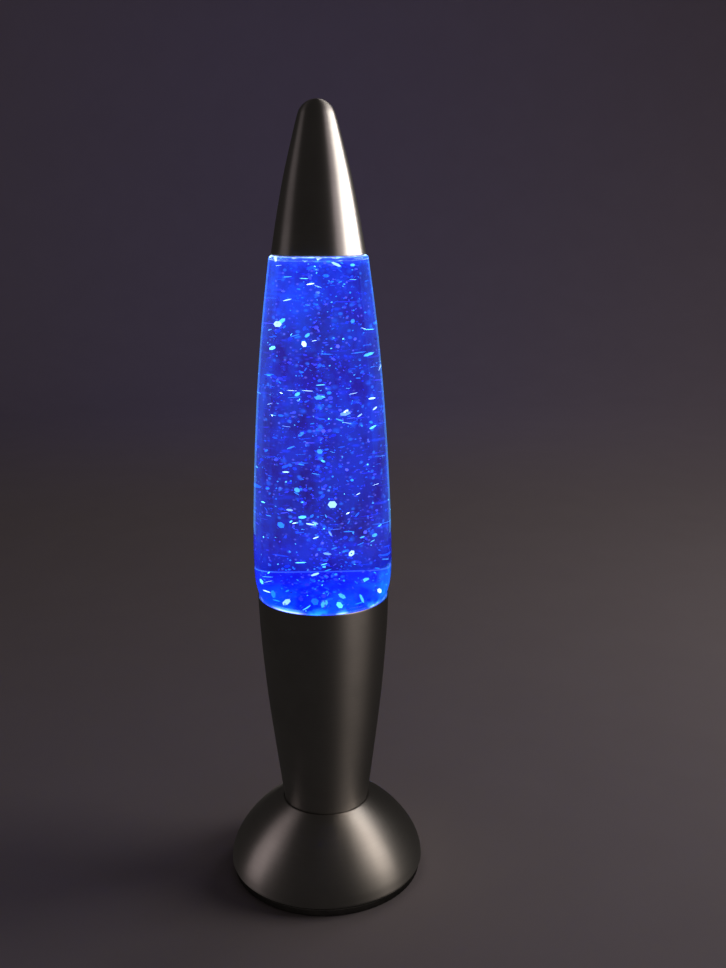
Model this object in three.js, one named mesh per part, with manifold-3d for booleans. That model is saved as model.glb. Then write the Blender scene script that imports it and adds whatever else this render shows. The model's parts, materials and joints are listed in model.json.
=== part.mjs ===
// Rocket-shaped glitter lamp: a bell-shaped metal foot and a tapered metal cup hold a reflector
// bulb, and a sealed bottle of liquid and glitter stands in the cup under a pointed metal cap.
// Millimetres, +Z up. The origin is the bottom centre, on the surface that the lamp stands on.
import * as THREE from 'three';
import { mergeVertices } from 'three/addons/utils/BufferGeometryUtils.js';
import Module from 'manifold-3d';

const wasm = await Module();
wasm.setup();

// ---- Driving dimensions -------------------------------------------------------------------
const GAP = 0.3; // clearance between pieces that touch in the real lamp
const SIDES = 32; // facets round the large shells
const SMALL_SIDES = 16; // facets round the small turned pieces

const FOOT_WALL = 0.9;
const FOOT_EDGE_Z = 4.9; // underside of the foot's turned-in flange
const FOOT_TOP_Z = 43.2; // floor of the shallow seat that carries the cup
const SEAT_R = 24.3;
const FLANGE_INNER_R = 43.5;
const NIPPLE_HOLE_R = 5.2;

const RING_OUTER_R = 53.4;
const RING_INNER_R = 50.4;

const PLATE_R = 50;
const PLATE_THICKNESS = 1.2;
const PLATE_SCREW_R = 46.8; // pitch circle of the base plate's screws
const PLATE_SCREWS = 4;

const GLAND_Z = 14;
const GLAND_NECK_R = 4.2;
const GLAND_FLANGE_R = 6.2;
const GLAND_BORE_R = 2.9;

const CUP_WALL = 0.9;
const CUP_FLOOR_Z = FOOT_TOP_Z + GAP;
const CUP_RIM_Z = 167;

const NIPPLE_R = 4.85;
const NIPPLE_BORE_R = 3.4;

const HOLDER_R = 13.2;
const HOLDER_FLOOR_Z = 46.2;
const HOLDER_JOINT_Z = 58; // where the holder's two halves screw together
const HOLDER_TOP_Z = 82;

const BULB_TIP_Z = 58.2; // lowest point of the bulb's solder tip
const BULB_LENGTH = 66;
const BULB_R = 19.5;
const THREAD_PITCH = 2.82;
const THREAD_TURNS = 5;

const GLASS_WALL = 2.4;
const BOTTLE_FLOOR_Z = 137.8;
const SHOULDER_Z = 350.2; // flat shoulder that the cap rests on
const NECK_R = 13.1;
const LIP_TOP_Z = 386.4;
const LIQUID_TOP_Z = 371;

const CROWN_FLUTES = 21;
const CAP_WALL = 0.8;
const CAP_RIM_Z = SHOULDER_Z + GAP;
const CAP_TIP_Z = 426.3;
const CAP_TIP_RADIUS = 10;

// ---- Materials ----------------------------------------------------------------------------
const LOOKS = {
  satin_metal: [0xb4afaa, 0.3, 1],
  black_rubber: [0x17130f, 0.8, 0],
  black_plastic: [0x15130f, 0.5, 0],
  zinc_steel: [0xb9bcc0, 0.4, 1],
  nickel: [0xc8c4bc, 0.28, 1],
  brass: [0xc09a4a, 0.35, 1],
  ceramic: [0xe8e3d6, 0.6, 0],
  bulb_glass: [0xe9eef2, 0.1, 0],
  tungsten: [0x6e6a64, 0.45, 1],
  solder: [0x9da0a3, 0.4, 1],
  bottle_glass: [0x9fc4ff, 0.05, 0],
  blue_liquid: [0x1426ff, 0.1, 0],
  crown_enamel: [0xd9d5c8, 0.35, 1],
  liner: [0xe6e1d2, 0.75, 0],
};

const group = new THREE.Group();

function look(name) {
  const [color, roughness, metalness] = LOOKS[name];
  return new THREE.MeshStandardMaterial({ color, roughness, metalness });
}

function place(name, geometry, lookName, x = 0, y = 0, z = 0) {
  const mesh = new THREE.Mesh(geometry, look(lookName));
  mesh.name = name;
  mesh.position.set(x, y, z);
  group.add(mesh);
  return mesh;
}

// ---- Outlines: lists of [radius, height] ---------------------------------------------------
function smooth(points, steps) {
  const curve = new THREE.SplineCurve(points.map(([r, z]) => new THREE.Vector2(r, z)));
  return curve.getPoints(steps).map((p) => [p.x, p.y]);
}

// Part of a circle in the outline plane, angles in degrees from the outward direction.
function arc(centreR, centreZ, radius, from, to, steps) {
  const points = [];
  for (let i = 0; i <= steps; i += 1) {
    const angle = THREE.MathUtils.degToRad(from + ((to - from) * i) / steps);
    points.push([centreR + radius * Math.cos(angle), centreZ + radius * Math.sin(angle)]);
  }
  return points;
}

// The outline moved sideways by a distance, to the left of its own direction.
function offset(outline, distance) {
  return outline.map(([r, z], i) => {
    const [r0, z0] = outline[Math.max(i - 1, 0)];
    const [r1, z1] = outline[Math.min(i + 1, outline.length - 1)];
    const length = Math.hypot(r1 - r0, z1 - z0);
    const movedR = r - (distance * (z1 - z0)) / length;
    const onAxis = r < 1e-6;
    return onAxis ? [0, z - distance] : [movedR, z + (distance * (r1 - r0)) / length];
  });
}

// ---- Solids --------------------------------------------------------------------------------
function signedVolume(geometry) {
  const position = geometry.attributes.position;
  const index = geometry.index.array;
  const corners = [new THREE.Vector3(), new THREE.Vector3(), new THREE.Vector3()];
  let volume = 0;
  for (let i = 0; i < index.length; i += 3) {
    corners.forEach((corner, k) => corner.fromBufferAttribute(position, index[i + k]));
    volume += corners[0].dot(corners[1].clone().cross(corners[2])) / 6;
  }
  return volume;
}

// Merges shared vertices, drops empty triangles and turns the faces outwards.
function tidy(geometry) {
  geometry.deleteAttribute('normal');
  geometry.deleteAttribute('uv');
  const merged = mergeVertices(geometry, 1e-4);
  const index = [];
  const source = merged.index.array;
  for (let i = 0; i < source.length; i += 3) {
    const [a, b, c] = [source[i], source[i + 1], source[i + 2]];
    if (a !== b && b !== c && c !== a) {
      index.push(a, b, c);
    }
  }
  merged.setIndex(index);
  if (signedVolume(merged) < 0) {
    merged.setIndex(index.reverse());
  }
  merged.computeVertexNormals();
  return merged;
}

// A solid of revolution about Z from a closed outline, or one that ends on the axis.
function turned(outline, sides = SIDES) {
  const onAxis = outline[0][0] < 1e-6 && outline.at(-1)[0] < 1e-6;
  const closed = onAxis ? outline : [...outline, outline[0]];
  const lathe = new THREE.LatheGeometry(closed.map(([r, z]) => new THREE.Vector2(r, z)), sides);
  lathe.rotateX(Math.PI / 2);
  return tidy(lathe);
}

function tube(outerR, innerR, bottomZ, topZ, sides = SMALL_SIDES) {
  return turned([[innerR, bottomZ], [outerR, bottomZ], [outerR, topZ], [innerR, topZ]], sides);
}

function disc(radius, bottomZ, topZ, sides = SMALL_SIDES) {
  return turned([[0, bottomZ], [radius, bottomZ], [radius, topZ], [0, topZ]], sides);
}

function box(sizeX, sizeY, sizeZ, x, y, z) {
  const geometry = new THREE.BoxGeometry(sizeX, sizeY, sizeZ);
  geometry.translate(x, y, z);
  return tidy(geometry);
}

function extruded(shape, bottomZ, height) {
  const geometry = new THREE.ExtrudeGeometry(shape, { depth: height, bevelEnabled: false });
  geometry.translate(0, 0, bottomZ);
  return tidy(geometry);
}

function toManifold(geometry) {
  return new wasm.Manifold(new wasm.Mesh({
    numProp: 3,
    vertProperties: Float32Array.from(geometry.attributes.position.array),
    triVerts: Uint32Array.from(geometry.index.array),
  }));
}

function fromManifold(manifold) {
  const { vertProperties, triVerts } = manifold.getMesh();
  const geometry = new THREE.BufferGeometry();
  geometry.setAttribute('position', new THREE.BufferAttribute(vertProperties, 3));
  geometry.setIndex(new THREE.BufferAttribute(triVerts, 1));
  geometry.computeVertexNormals();
  return geometry;
}

function cut(geometry, ...tools) {
  const solid = tools.reduce((rest, tool) => rest.subtract(toManifold(tool)), toManifold(geometry));
  return fromManifold(solid);
}

function join(...geometries) {
  const [first, ...others] = geometries.map(toManifold);
  return fromManifold(others.reduce((whole, other) => whole.add(other), first));
}

// A cylinder lying along +Y, from near to far, at height z.
function lyingAlongY(radius, near, far, z, sides = SMALL_SIDES) {
  const geometry = new THREE.CylinderGeometry(radius, radius, far - near, sides);
  geometry.translate(0, (near + far) / 2, z);
  return tidy(geometry);
}

// ---- Foot ----------------------------------------------------------------------------------
const footOutside = [
  [54.3, FOOT_EDGE_Z],
  ...smooth([
    [54.9, 6.6],
    [54.3, 12],
    [51.9, 18.5],
    [48, 25],
    [43.2, 31],
    [37.9, 36.2],
    [32.6, 40.3],
    [28.6, 42.8],
    [25.2, 44.5],
  ], 8),
];

function footShell(wallOutside, wallInside) {
  const outside = offset(footOutside, -wallOutside);
  const inside = offset(footOutside, wallInside).reverse();
  const topZ = FOOT_TOP_Z + wallOutside;
  const ceilingZ = FOOT_TOP_Z - wallInside;
  const flangeTopZ = FOOT_EDGE_Z + wallInside;
  return turned([
    [FLANGE_INNER_R, FOOT_EDGE_Z - wallOutside],
    [54.3 - wallOutside, FOOT_EDGE_Z - wallOutside],
    ...outside.slice(1),
    [SEAT_R, outside.at(-1)[1]],
    [SEAT_R, topZ],
    [NIPPLE_HOLE_R, topZ],
    [NIPPLE_HOLE_R, ceilingZ],
    [SEAT_R + 1.8, ceilingZ],
    ...inside.slice(1, -1),
    [53.4, flangeTopZ],
    [FLANGE_INNER_R, flangeTopZ],
  ]);
}

function plateScrewPositions() {
  return Array.from({ length: PLATE_SCREWS }, (_, i) => {
    const angle = (Math.PI * (2 * i + 1)) / PLATE_SCREWS;
    return [PLATE_SCREW_R * Math.cos(angle), PLATE_SCREW_R * Math.sin(angle)];
  });
}

function screwHole(x, y) {
  const hole = disc(1.6, 0.5, 8, 12);
  hole.translate(x, y, 0);
  return hole;
}

function addFoot() {
  const cordHole = lyingAlongY(GLAND_NECK_R + GAP, 45, 62, GLAND_Z);
  const screwHoles = plateScrewPositions().map(([x, y]) => screwHole(x, y));
  place('foot_shell', cut(footShell(0, FOOT_WALL), cordHole, ...screwHoles), 'satin_metal');

  const ringTopZ = FOOT_EDGE_Z - GAP;
  place('foot_ring', turned([
    [RING_INNER_R, 0],
    [RING_OUTER_R - 0.8, 0],
    [RING_OUTER_R, 0.8],
    [54.2, ringTopZ],
    [RING_INNER_R, ringTopZ],
  ]), 'black_rubber');

  const plateTopZ = ringTopZ;
  const plate = disc(PLATE_R, plateTopZ - PLATE_THICKNESS, plateTopZ, SIDES);
  place('base_plate', cut(plate, ...screwHoles), 'black_plastic');

  const headTopZ = plateTopZ - PLATE_THICKNESS - GAP;
  const screw = turned([[0, headTopZ - 1.7], [2, headTopZ - 1.7], [2.9, headTopZ - 0.9], [2.9, headTopZ],
    [1.25, headTopZ], [1.25, 8.4], [0.3, 9.8], [0, 9.8]], 12);
  const slots = [box(3.4, 0.8, 1.6, 0, 0, headTopZ - 1.7), box(0.8, 3.4, 1.6, 0, 0, headTopZ - 1.7)];
  plateScrewPositions().forEach(([x, y], i) => {
    place(`base_screw_${i + 1}`, cut(screw, ...slots), 'zinc_steel', x, y);
  });
}

// Rubber gland in the back of the foot: it grips the wall in a groove and is open end to end.
function addCordGland() {
  const body = lyingAlongY(GLAND_FLANGE_R, 50.2, 56.8, GLAND_Z);
  const boot = lyingAlongY(4.6, 56, 58.6, GLAND_Z);
  const groove = cut(footShell(GAP, FOOT_WALL + GAP), lyingAlongY(GLAND_NECK_R, 45, 62, GLAND_Z));
  const bore = lyingAlongY(GLAND_BORE_R, 45, 68, GLAND_Z);
  place('cord_gland', cut(join(body, boot), groove, bore), 'black_rubber');
}

// ---- Cup -----------------------------------------------------------------------------------
const cupOutside = smooth([
  [23.9, 44.6],
  [27.8, 75],
  [32, 110],
  [34.9, 145],
  [35.8, CUP_RIM_Z - 0.4],
], 5);

function addCup() {
  const inside = offset(cupOutside, CUP_WALL).reverse();
  place('cup_shell', turned([
    [NIPPLE_HOLE_R, CUP_FLOOR_Z],
    [22.9, CUP_FLOOR_Z],
    ...cupOutside,
    [35.5, CUP_RIM_Z],
    [35.15, CUP_RIM_Z],
    ...inside.slice(0, -1),
    [22.6, CUP_FLOOR_Z + CUP_WALL],
    [NIPPLE_HOLE_R, CUP_FLOOR_Z + CUP_WALL],
  ]), 'satin_metal');
}

// ---- Threaded nipple that clamps the cup, the foot and the lamp holder together -------------
function hexNut(acrossFlats, holeR, bottomZ, height) {
  const cornerR = acrossFlats / Math.sqrt(3);
  const shape = new THREE.Shape();
  for (let i = 0; i < 6; i += 1) {
    const angle = (Math.PI * i) / 3;
    shape[i ? 'lineTo' : 'moveTo'](cornerR * Math.cos(angle), cornerR * Math.sin(angle));
  }
  shape.closePath();
  return cut(extruded(shape, bottomZ, height), disc(holeR, bottomZ - 1, bottomZ + height + 1));
}

function addNipple() {
  const ceilingZ = FOOT_TOP_Z - FOOT_WALL;
  const washerTopZ = ceilingZ - GAP;
  place('nipple', tube(NIPPLE_R, NIPPLE_BORE_R, 34.5, 50.2), 'zinc_steel');
  place('nipple_washer_lower', tube(9.2, NIPPLE_HOLE_R, washerTopZ - 0.8, washerTopZ), 'zinc_steel');
  place('nipple_nut', hexNut(14, NIPPLE_HOLE_R, washerTopZ - 0.8 - GAP - 3, 3), 'zinc_steel');
  const upperZ = CUP_FLOOR_Z + CUP_WALL + GAP;
  place('nipple_washer_upper', tube(10, NIPPLE_HOLE_R, upperZ, upperZ + 0.8), 'zinc_steel');
}

// ---- Lamp holder ---------------------------------------------------------------------------
function addHolder() {
  place('holder_dome', turned([
    [NIPPLE_HOLE_R, HOLDER_FLOOR_Z],
    [9, HOLDER_FLOOR_Z],
    [12, 48.2],
    [HOLDER_R, 51],
    [HOLDER_R, HOLDER_JOINT_Z],
    [11.7, HOLDER_JOINT_Z],
    [11.7, 50.9],
    [10.4, 49.2],
    [8.6, 48],
    [NIPPLE_HOLE_R, 48],
  ], 24), 'black_plastic');

  place('holder_body', turned([
    [HOLDER_R, HOLDER_JOINT_Z + GAP],
    [HOLDER_R, 62],
    [12.3, 62.8],
    [12.3, HOLDER_TOP_Z - 1],
    [11.5, HOLDER_TOP_Z],
    [9.6, HOLDER_TOP_Z],
    [9.4, HOLDER_TOP_Z - 0.6],
    [9.4, 77],
    [8.1, 77],
    [8.1, 60.8],
    [11.7, 60.8],
    [11.7, HOLDER_JOINT_Z + GAP],
  ], 24), 'black_plastic');

  place('holder_sleeve', tube(7.75, 7.3, 61.2, 76.4), 'brass');

  // Terminal block with one screw at each end.
  const blockZ = 53.9;
  const block = box(16, 11, 4, 0, 0, blockZ);
  const screwAlongX = (radius, from, to) => {
    const rod = lyingAlongY(radius, from, to, blockZ, 12);
    rod.rotateZ(-Math.PI / 2);
    return rod;
  };
  const screwHoles = [screwAlongX(1.4, 4, 9), screwAlongX(1.4, -9, -4)];
  place('holder_terminal_block', cut(block, ...screwHoles), 'ceramic');
  [1, -1].forEach((side, i) => {
    const shank = screwAlongX(1.05, Math.min(4.6 * side, 9 * side), Math.max(4.6 * side, 9 * side));
    const head = screwAlongX(1.9, Math.min(8.4 * side, 9.9 * side), Math.max(8.4 * side, 9.9 * side));
    const slot = box(1, 0.7, 4, 10 * side, 0, blockZ);
    place(`holder_terminal_screw_${i + 1}`, cut(join(shank, head), slot), 'brass');
  });

  // Springy centre contact: a folded strip, 4 wide, that rises under the bulb's tip.
  const strip = new THREE.Shape();
  const top = [[-6.5, 56.7], [-5, 56.7], [-2, 57.85], [2, 57.85], [5, 56.7], [6.5, 56.7]];
  top.forEach(([x, z], i) => strip[i ? 'lineTo' : 'moveTo'](x, z));
  top.reverse().forEach(([x, z]) => strip.lineTo(x, z - 0.45));
  strip.closePath();
  const contact = new THREE.ExtrudeGeometry(strip, { depth: 4, bevelEnabled: false });
  contact.rotateX(Math.PI / 2);
  contact.translate(0, 2, 0);
  place('holder_contact', tidy(contact), 'brass');
}

// ---- Reflector bulb ------------------------------------------------------------------------
function addBulb() {
  const tip = BULB_TIP_Z;
  place('bulb_solder_tip', turned([
    [0, tip],
    [1.6, tip + 0.3],
    [2.3, tip + 1.1],
    [2.3, tip + 1.7],
    [0, tip + 1.7],
  ], SMALL_SIDES), 'solder');

  place('bulb_insulator', turned([
    [0, tip + 2],
    [2.9, tip + 2],
    [5.6, tip + 4.6],
    [5.6, tip + 6.6],
    [0, tip + 6.6],
  ], SMALL_SIDES), 'black_plastic');

  // Screw shell: thread ridges, then the flared skirt that holds the glass.
  const threadStartZ = tip + 5.2;
  const wall = 0.35;
  const thread = [];
  for (let i = 0; i <= THREAD_TURNS * 2; i += 1) {
    thread.push([i % 2 ? 6.9 : 6.3, threadStartZ + (THREAD_PITCH * i) / 2]);
  }
  const skirtZ = thread.at(-1)[1];
  const shellOutside = [...thread, [6.9, skirtZ + 0.8], [8.3, skirtZ + 1.7], [8.3, skirtZ + 6]];
  const shellInside = shellOutside.map(([r, z]) => [r - wall, z]).reverse();
  place('bulb_screw_shell', turned([...shellOutside, ...shellInside], SMALL_SIDES), 'nickel');

  // Glass: neck, flared reflector and domed front, open at the neck.
  const neckZ = skirtZ + 2.4;
  const topZ = tip + BULB_LENGTH;
  const domeRadius = 20.6;
  const domeEdge = THREE.MathUtils.radToDeg(Math.acos(BULB_R / domeRadius));
  const glassOutside = [
    [7.5, neckZ],
    ...smooth([[7.5, neckZ + 5], [9.4, neckZ + 9.5], [14.6, neckZ + 18.5], [18.9, neckZ + 26.5]], 4),
    ...arc(0, topZ - domeRadius, domeRadius, domeEdge, 90, 4),
  ];
  const glassInside = offset(glassOutside, 0.7).reverse();
  place('bulb_glass', turned([...glassOutside, ...glassInside], 24), 'bulb_glass');

  // Mount inside the neck: a glass stem, two lead wires and the filament across them.
  const stemTopZ = neckZ + 13;
  place('bulb_stem', turned([
    [0, neckZ + 1],
    [6.2, neckZ + 1],
    [6.2, neckZ + 2],
    [2.4, neckZ + 5],
    [2.2, stemTopZ],
    [0, stemTopZ + 1],
  ], 16), 'bulb_glass');
  const filamentZ = topZ - 27;
  const halfSpan = 6;
  [1, -1].forEach((side, i) => {
    const route = new THREE.LineCurve3(
      new THREE.Vector3(1.2 * side, 0, stemTopZ + 1.3),
      new THREE.Vector3(halfSpan * side, 0, filamentZ - 0.9),
    );
    place(`bulb_lead_${i + 1}`, rod(route, 0.4, 1), 'nickel');
  });
  const arch = new THREE.QuadraticBezierCurve3(
    new THREE.Vector3(-halfSpan, 0, filamentZ),
    new THREE.Vector3(0, 0, filamentZ + 5),
    new THREE.Vector3(halfSpan, 0, filamentZ),
  );
  place('bulb_filament', rod(arch, 0.4, 8), 'tungsten');
}

function rod(route, radius, steps) {
  const section = new THREE.Shape();
  for (let i = 0; i < 8; i += 1) {
    const angle = (Math.PI * i) / 4;
    section[i ? 'lineTo' : 'moveTo'](radius * Math.cos(angle), radius * Math.sin(angle));
  }
  section.closePath();
  return tidy(new THREE.ExtrudeGeometry(section, { steps, extrudePath: route, bevelEnabled: false }));
}

// ---- Bottle --------------------------------------------------------------------------------
const bottleSide = [
  ...arc(24.8, BOTTLE_FLOOR_Z + 5, 5, -90, -10, 2),
  [34.15, 164.8],
  ...smooth([
    [35, 168],
    [37, 176],
    [37.6, 190],
    [37, 215],
    [35.6, 245],
    [33.3, 280],
    [30, 315],
    [25.8, 348.2],
  ], 9),
  ...arc(23.9, 348.3, 1.9, 30, 90, 2),
];

function addBottle() {
  const wallOutside = [
    ...bottleSide,
    [16, SHOULDER_Z],
    [NECK_R + 0.6, 351.2],
    [NECK_R, 353.5],
    [NECK_R, 379.6],
    [NECK_R + 0.35, 381],
    [NECK_R + 0.35, LIP_TOP_Z - 1],
    [NECK_R - 0.6, LIP_TOP_Z],
  ];
  const boreR = 10.4;
  const inside = offset(bottleSide, GLASS_WALL);
  const liquid = offset(bottleSide, GLASS_WALL + GAP);
  const underShoulderZ = SHOULDER_Z - GLASS_WALL;
  place('bottle_glass', turned([
    [0, BOTTLE_FLOOR_Z + 2.2],
    [17, BOTTLE_FLOOR_Z + 0.8],
    [21, BOTTLE_FLOOR_Z],
    ...wallOutside,
    [boreR, LIP_TOP_Z],
    [boreR, 354],
    [13, underShoulderZ],
    ...inside.slice(1).reverse(),
    [20, BOTTLE_FLOOR_Z + 3.4],
    [0, BOTTLE_FLOOR_Z + 5.4],
  ]), 'bottle_glass');
  const fillR = boreR - GAP;
  place('bottle_liquid', turned([
    [0, BOTTLE_FLOOR_Z + 5.4 + GAP],
    [20, BOTTLE_FLOOR_Z + 3.4 + GAP],
    ...liquid.slice(1),
    [13, underShoulderZ - GAP],
    [fillR, 354 - GAP],
    [fillR, LIQUID_TOP_Z],
    [0, LIQUID_TOP_Z],
  ], 24), 'blue_liquid');
}

// Crown closure: a thin steel cap whose skirt is crimped into flutes.
function addCrown() {
  const linerZ = LIP_TOP_Z + GAP;
  place('crown_liner', disc(12.4, linerZ, linerZ + 0.8), 'liner');
  const topZ = linerZ + 0.8 + GAP + 0.4;
  const outside = [
    [16, topZ - 6],
    [15.1, topZ - 3.6],
    [14.6, topZ - 1.6],
    [13.9, topZ - 0.5],
    [12.9, topZ],
  ];
  const inside = offset(outside, 0.4).reverse();
  const crown = turned([[0, topZ - 0.4], ...inside, ...outside, [0, topZ]], CROWN_FLUTES * 2);
  const position = crown.attributes.position;
  for (let i = 0; i < position.count; i += 1) {
    const [x, y, z] = [position.getX(i), position.getY(i), position.getZ(i)];
    const radius = Math.hypot(x, y);
    const depth = THREE.MathUtils.clamp((topZ - 0.8 - z) / 5, 0, 1) * 0.45;
    const crimp = radius > 12 ? depth * Math.cos(CROWN_FLUTES * Math.atan2(x, -y)) : 0;
    const scale = radius > 0 ? (radius + crimp - depth) / radius : 1;
    position.setXYZ(i, x * scale, y * scale, z);
  }
  place('crown_closure', crown, 'crown_enamel');
}

// ---- Cap -----------------------------------------------------------------------------------
function addCap() {
  const tipCentreZ = CAP_TIP_Z - CAP_TIP_RADIUS;
  const outside = [
    ...smooth([[24.4, CAP_RIM_Z + 0.3], [21.1, 370], [17.1, 390], [12.1, 410], [10, 417.8]], 6),
    ...arc(0, tipCentreZ, CAP_TIP_RADIUS, 16, 90, 4),
  ];
  const inside = offset(outside, CAP_WALL).reverse();
  inside[inside.length - 1] = [23.8, CAP_RIM_Z];
  place('top_cap', turned([...outside, ...inside, [24.1, CAP_RIM_Z]]), 'satin_metal');
}

addFoot();
addCordGland();
addCup();
addNipple();
addHolder();
addBulb();
addBottle();
addCrown();
addCap();

export default group;
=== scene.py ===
import json
import random
from math import acos, cos, degrees, hypot, inf, pi, radians, sin, sqrt, tan

import bmesh
import bpy
from mathutils import Matrix, Vector


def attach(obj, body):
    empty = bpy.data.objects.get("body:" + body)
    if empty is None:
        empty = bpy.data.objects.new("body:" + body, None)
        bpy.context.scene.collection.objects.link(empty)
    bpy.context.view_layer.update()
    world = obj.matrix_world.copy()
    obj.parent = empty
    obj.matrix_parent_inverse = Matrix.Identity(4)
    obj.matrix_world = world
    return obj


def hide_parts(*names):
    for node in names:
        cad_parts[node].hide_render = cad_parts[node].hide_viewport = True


# Visual model of a rocket-shaped glitter lamp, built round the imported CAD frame.
# Outlines are [radius, height] lists in millimetres, in the frame's own coordinates.
# Meshes are made in metres.

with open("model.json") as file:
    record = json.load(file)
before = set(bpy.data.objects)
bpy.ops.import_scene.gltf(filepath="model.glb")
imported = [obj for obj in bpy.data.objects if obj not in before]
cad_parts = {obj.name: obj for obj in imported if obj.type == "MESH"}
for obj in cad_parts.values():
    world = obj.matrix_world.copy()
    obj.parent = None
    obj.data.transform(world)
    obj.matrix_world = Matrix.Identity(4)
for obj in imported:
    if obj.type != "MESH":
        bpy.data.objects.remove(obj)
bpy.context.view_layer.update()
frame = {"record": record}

MM = 0.001
TAU = 2 * pi
TINY = 1e-6  # a shorter length counts as nothing
FINE_SEGMENTS = 192
BODY_OF = {
    node: body
    for body, nodes in frame["record"]["behaviour"]["bodies"].items()
    for node in nodes
}

# Driving sizes, as in the CAD model.
GAP = 0.3
FOOT_EDGE_Z, FOOT_TOP_Z, FOOT_WALL, SEAT_R = 4.9, 43.2, 0.9, 24.3
CUP_FLOOR_Z, CUP_RIM_Z, CUP_WALL = 43.5, 167.0, 0.9
NIPPLE_HOLE_R = 5.2
PLATE_BOTTOM_Z, PLATE_TOP_Z, PLATE_SCREW_R = 3.4, 4.6, 46.8
GLAND_Z = 14.0
HOLDER_R, HOLDER_JOINT_Z, HOLDER_TOP_Z, TERMINAL_Z = 13.2, 58.0, 82.0, 53.9
BULB_TIP_Z, BULB_TOP_Z, BULB_DOME_R = 58.2, 124.2, 20.6
THREAD_PITCH, THREAD_START_Z, SKIRT_Z = 2.82, 63.4, 77.5
BOTTLE_FLOOR_Z, SHOULDER_Z, LIP_TOP_Z = 137.8, 350.2, 386.4
GLASS_WALL, LIQUID_TOP_Z = 2.4, 371.0
CAP_RIM_Z, CAP_TIP_Z, CAP_TIP_R, CAP_WALL = 350.5, 426.3, 10.0, 0.8
FLUTES = 21

# Sizes that several pieces share.
BULB_NECK_Z = SKIRT_Z + 2.4
STEM_TOP_Z = BULB_NECK_Z + 13
WIRE_Z, WIRE_SPAN = BULB_TOP_Z - 27, 6.0
BOTTLE_UNDER_Z = SHOULDER_Z - GLASS_WALL


# ---- Outlines ----
def smooth(points, steps):
    """A Catmull-Rom curve through the points."""
    def blend(a, b, c, d, t):
        slope, bend, twist = c - a, 2 * a - 5 * b + 4 * c - d, 3 * b - a - 3 * c + d
        return 0.5 * (2 * b + slope * t + bend * t * t + twist * t ** 3)

    made = []
    last = len(points) - 1
    for k in range(steps + 1):
        at = last * k / steps
        i = min(int(at), last - 1)
        around = [points[min(max(i + d, 0), last)] for d in (-1, 0, 1, 2)]
        made.append([blend(*values, at - i) for values in zip(*around)])
    return made


def arc(r, z, radius, start, end, steps):
    """Part of a circle, angles in degrees from the outward direction."""
    angles = [radians(start + (end - start) * i / steps) for i in range(steps + 1)]
    return [[r + radius * cos(a), z + radius * sin(a)] for a in angles]


def offset(outline, distance):
    """The outline moved sideways, to the left of its own direction."""
    made = []
    for i, (r, z) in enumerate(outline):
        r0, z0 = outline[max(i - 1, 0)]
        r1, z1 = outline[min(i + 1, len(outline) - 1)]
        length = hypot(r1 - r0, z1 - z0)
        if r < TINY:
            made.append([0.0, z - distance])
        else:
            made.append([r - distance * (z1 - z0) / length, z + distance * (r1 - r0) / length])
    return made


def rounded(points, radius):
    """The closed outline with its corners rounded; a point's third number is its own radius."""
    steps, flattest, longest_share = 3, 25, 0.45
    made = []
    count = len(points)
    for i, point in enumerate(points):
        here = Vector(point[:2])
        before = Vector(points[i - 1][:2]) - here
        after = Vector(points[(i + 1) % count][:2]) - here
        own = point[2] if len(point) > 2 else radius
        if point[0] < TINY or min(before.length, after.length) < TINY:
            made.append([here.x, here.y])
            continue
        turn = pi - before.angle(after)
        if degrees(turn) < flattest or own <= 0:
            made.append([here.x, here.y])
            continue
        longest = longest_share * min(before.length, after.length)
        reach = min(own * tan(turn / 2), longest)
        start = here + before.normalized() * reach
        end = here + after.normalized() * reach
        for k in range(steps + 1):
            t = k / steps
            p = start * (1 - t) ** 2 + here * 2 * t * (1 - t) + end * t * t
            made.append([p.x, p.y])
    return made


def heights(bottom, top, step):
    """Even heights from bottom to top, about a step apart."""
    count = max(1, round((top - bottom) / step))
    return [bottom + (top - bottom) * i / count for i in range(count + 1)]


# ---- Shapes: (vertices, faces) in millimetres ----
def lathe(outline, segments, form=None):
    """A solid of revolution; form(r, z, angle) may return a changed (r, z)."""
    verts, rings, faces = [], [], []
    for r, z in outline:
        if r < TINY:
            rings.append([len(verts)])
            verts.append((0, 0, z))
            continue
        rings.append(list(range(len(verts), len(verts) + segments)))
        for i in range(segments):
            a = TAU * i / segments
            rr, zz = form(r, z, a) if form else (r, z)
            verts.append((rr * cos(a), rr * sin(a), zz))
    pairs = list(zip(rings, rings[1:]))
    if len(rings[0]) > 1 or len(rings[-1]) > 1:
        pairs.append((rings[-1], rings[0]))
    for low, high in pairs:
        for i in range(segments):
            j = (i + 1) % segments
            if len(low) == 1 and len(high) == 1:
                break
            if len(low) == 1:
                faces.append((low[0], high[j], high[i]))
            elif len(high) == 1:
                faces.append((low[i], low[j], high[0]))
            else:
                faces.append((low[i], low[j], high[j], high[i]))
    return verts, faces


def rod(radius, bottom, top, segments):
    """A plain cylinder about the axis."""
    return lathe([[0, bottom], [radius, bottom], [radius, top], [0, top]], segments)


def prism(points, bottom, top):
    """A flat outline of (x, y) points, extruded along Z."""
    n = len(points)
    verts = [(x, y, z) for z in (bottom, top) for x, y in points]
    faces = [tuple(reversed(range(n))), tuple(range(n, 2 * n))]
    faces += [(i, (i + 1) % n, n + (i + 1) % n, n + i) for i in range(n)]
    return verts, faces


def block(size, centre):
    x, y = size[0] / 2, size[1] / 2
    corners = [(-x, -y), (x, -y), (x, y), (-x, y)]
    return moved(prism(corners, -size[2] / 2, size[2] / 2), Matrix.Translation(centre))


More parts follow.
